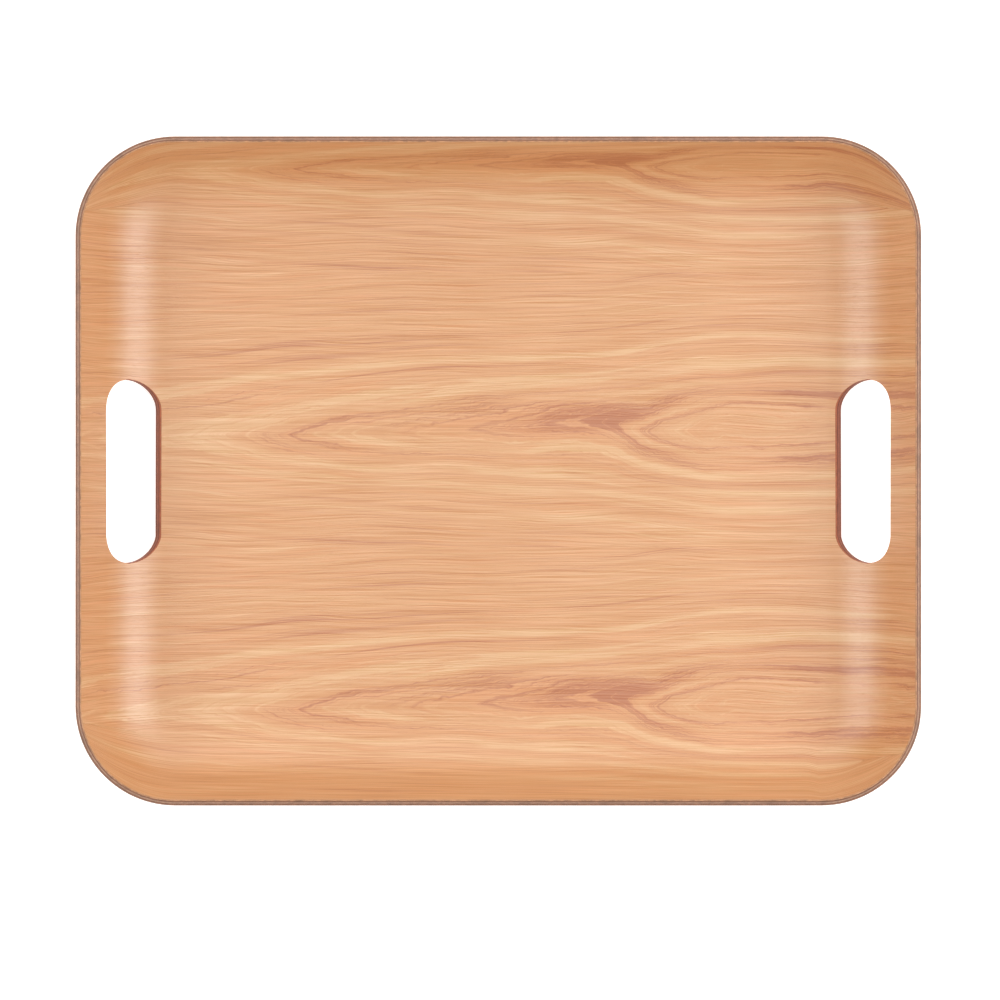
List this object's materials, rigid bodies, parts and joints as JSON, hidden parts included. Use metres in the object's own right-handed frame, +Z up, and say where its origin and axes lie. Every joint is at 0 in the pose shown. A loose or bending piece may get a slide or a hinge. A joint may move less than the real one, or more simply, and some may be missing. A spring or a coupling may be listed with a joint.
{
  "type": "serving tray",
  "caption": "Shallow rectangular serving tray pressed from laminated wood veneer, with round corners, flared walls and a slanted hand hole in each end wall.",
  "frame": {"origin": "on the table, under the middle of the tray", "axes": "+X along the tray from one hand hole to the other, +Y to the rear, +Z up"},
  "size_m": [0.46, 0.364, 0.048],
  "materials": {
    "face_veneer": "pale pinkish-tan crown-cut veneer, grain along the tray, under a satin clear lacquer",
    "crossband": "darker veneer laid across the grain, seen only at the cut edges",
    "core": "lighter rotary-cut veneer, seen only at the cut edges",
    "back_veneer": "the same pale crown-cut veneer and satin lacquer as the face"
  },
  "bodies": {
    "root": {"face_leaf_rear": "face_veneer", "face_leaf_middle": "face_veneer", "face_leaf_front": "face_veneer", "upper_crossband": "crossband", "core_ply": "core", "lower_crossband": "crossband", "back_leaf_rear": "back_veneer", "back_leaf_middle": "back_veneer", "back_leaf_front": "back_veneer"}
  },
  "joints": []
}
